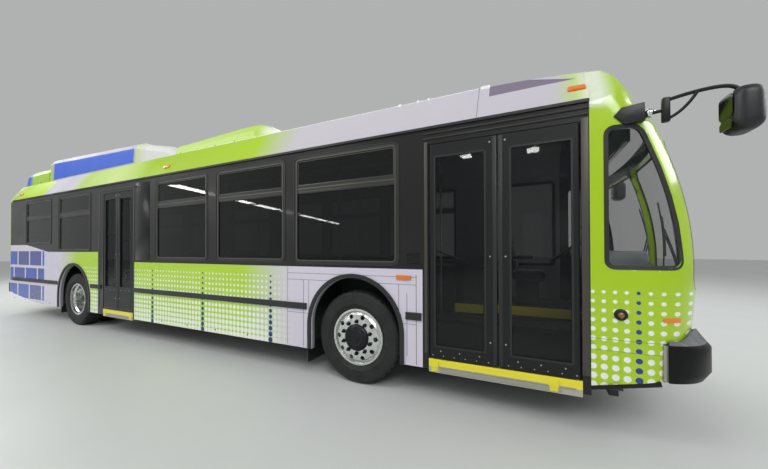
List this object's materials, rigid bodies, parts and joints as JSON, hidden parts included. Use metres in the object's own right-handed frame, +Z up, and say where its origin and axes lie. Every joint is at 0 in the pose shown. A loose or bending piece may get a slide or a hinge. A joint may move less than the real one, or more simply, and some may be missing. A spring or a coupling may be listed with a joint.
{
  "type": "low-floor city bus",
  "caption": "Long low-floor city bus with wide double-leaf side doors, ribbon windows, roof fairings and a raised rear deck over the engine.",
  "frame": {"origin": "on the ground, under the middle of the body's length and width", "axes": "+X forward, +Y to the driver's side (left), +Z up"},
  "size_m": [12.35, 3.09, 3.4497],
  "materials": {
    "lime_paint": "gloss",
    "body_paint": "gloss",
    "fairing_paint": "gloss",
    "black_paint": "satin",
    "glass": "tinted, clear",
    "black_plastic": "textured",
    "rubber": "matte",
    "tyre": "matte",
    "wheel_metal": "polished",
    "frame_steel": "satin",
    "cast_steel": "matte",
    "floor_cover": "matte",
    "yellow_paint": "satin",
    "lamp_lens": "clear",
    "seat_shell": "textured",
    "seat_fabric": "woven",
    "rail_steel": "brushed",
    "dash_plastic": "grained",
    "sheet_steel": "satin"
  },
  "bodies": {
    "bus_body": {"side_wall_right": "body_paint", "side_wall_left": "body_paint", "roof_front": "body_paint", "roof_middle": "body_paint", "roof_rear": "body_paint", "front_mask": "lime_paint", "rear_cap": "body_paint", "front_glass": "glass", "side_glass": "glass", "window_frames": "black_plastic", "battery_fairing": "fairing_paint", "side_fairing": "fairing_paint", "tail_fairing": "fairing_paint", "front_bumper": "black_plastic", "rear_bumper": "black_plastic", "cabin_floor": "floor_cover", "driver_platform": "floor_cover", "wheel_housings": "sheet_steel", "chassis_frame": "frame_steel", "rear_frame": "frame_steel", "cross_members": "frame_steel", "engine_block": "cast_steel", "door_sills": "yellow_paint", "black_trim": "rubber", "mud_flaps": "rubber", "lamps": "lamp_lens", "mirrors": "black_plastic", "dashboard": "dash_plastic", "steering_wheel": "dash_plastic", "driver_seat_base": "frame_steel", "driver_seat": "seat_fabric", "seat_bases": "seat_shell", "seat_backs": "seat_shell", "seat_legs": "rail_steel", "grab_rails": "rail_steel", "stanchions": "rail_steel", "front_axle": "frame_steel", "rear_axle": "frame_steel", "air_springs": "rubber"},
    "front_door_aft": {"front_door_aft": "black_paint", "front_door_aft_glass": "glass"},
    "front_door_fore": {"front_door_fore": "black_paint", "front_door_fore_glass": "glass"},
    "rear_door_aft": {"rear_door_aft": "black_paint", "rear_door_aft_glass": "glass"},
    "rear_door_fore": {"rear_door_fore": "black_paint", "rear_door_fore_glass": "glass"},
    "engine_door": {"engine_door": "body_paint"},
    "hatch_front": {"hatch_front": "black_plastic"},
    "hatch_rear": {"hatch_rear": "black_plastic"},
    "knuckle_right": {"knuckle_right": "cast_steel"},
    "wheel_front_right": {"wheel_front_right": "wheel_metal", "tyre_front_right": "tyre"},
    "wheel_rear_right": {"wheel_rear_right": "wheel_metal", "tyre_rear_right": "tyre"},
    "knuckle_left": {"knuckle_left": "cast_steel"},
    "wheel_front_left": {"wheel_front_left": "wheel_metal", "tyre_front_left": "tyre"},
    "wheel_rear_left": {"wheel_rear_left": "wheel_metal", "tyre_rear_left": "tyre"}
  },
  "joints": [
    {"name": "front_door_aft_swing", "type": "hinge", "parent": "bus_body", "child": "front_door_aft", "pos_m": [4.0385, -1.2725, 1.408], "axis": [0, 0, -1], "range_deg": [0, 90]},
    {"name": "front_door_fore_swing", "type": "hinge", "parent": "bus_body", "child": "front_door_fore", "pos_m": [5.2015, -1.2725, 1.408], "axis": [0, 0, 1], "range_deg": [0, 90]},
    {"name": "rear_door_aft_swing", "type": "hinge", "parent": "bus_body", "child": "rear_door_aft", "pos_m": [-1.8365, -1.2725, 1.408], "axis": [0, 0, -1], "range_deg": [0, 90]},
    {"name": "rear_door_fore_swing", "type": "hinge", "parent": "bus_body", "child": "rear_door_fore", "pos_m": [-0.9735, -1.2725, 1.408], "axis": [0, 0, 1], "range_deg": [0, 90]},
    {"name": "engine_door_lift", "type": "hinge", "parent": "bus_body", "child": "engine_door", "pos_m": [-6.165, 0, 1.568], "axis": [0, 1, 0], "range_deg": [0, 75]},
    {"name": "hatch_front_lift", "type": "hinge", "parent": "bus_body", "child": "hatch_front", "pos_m": [4.427, 0, 3.107], "axis": [0, 1, 0], "range_deg": [0, 60]},
    {"name": "hatch_rear_lift", "type": "hinge", "parent": "bus_body", "child": "hatch_rear", "pos_m": [2.827, 0, 3.107], "axis": [0, 1, 0], "range_deg": [0, 60]},
    {"name": "steer_right", "type": "hinge", "parent": "bus_body", "child": "knuckle_right", "pos_m": [3.195, -0.92, 0.492], "axis": [0, 0, 1], "range_deg": [-40, 40]},
    {"name": "spin_front_right", "type": "hinge", "parent": "knuckle_right", "child": "wheel_front_right", "pos_m": [3.195, -1.095, 0.492], "axis": [0, 1, 0], "continuous": true},
    {"name": "spin_rear_right", "type": "hinge", "parent": "bus_body", "child": "wheel_rear_right", "pos_m": [-3.005, -1.095, 0.492], "axis": [0, 1, 0], "continuous": true},
    {"name": "steer_left", "type": "hinge", "parent": "bus_body", "child": "knuckle_left", "pos_m": [3.195, 0.92, 0.492], "axis": [0, 0, 1], "range_deg": [-40, 40]},
    {"name": "spin_front_left", "type": "hinge", "parent": "knuckle_left", "child": "wheel_front_left", "pos_m": [3.195, 1.095, 0.492], "axis": [0, 1, 0], "continuous": true},
    {"name": "spin_rear_left", "type": "hinge", "parent": "bus_body", "child": "wheel_rear_left", "pos_m": [-3.005, 1.095, 0.492], "axis": [0, 1, 0], "continuous": true}
  ],
  "couplings": [
    {"joint": "steer_left", "follows": "steer_right", "ratio": 1}
  ]
}
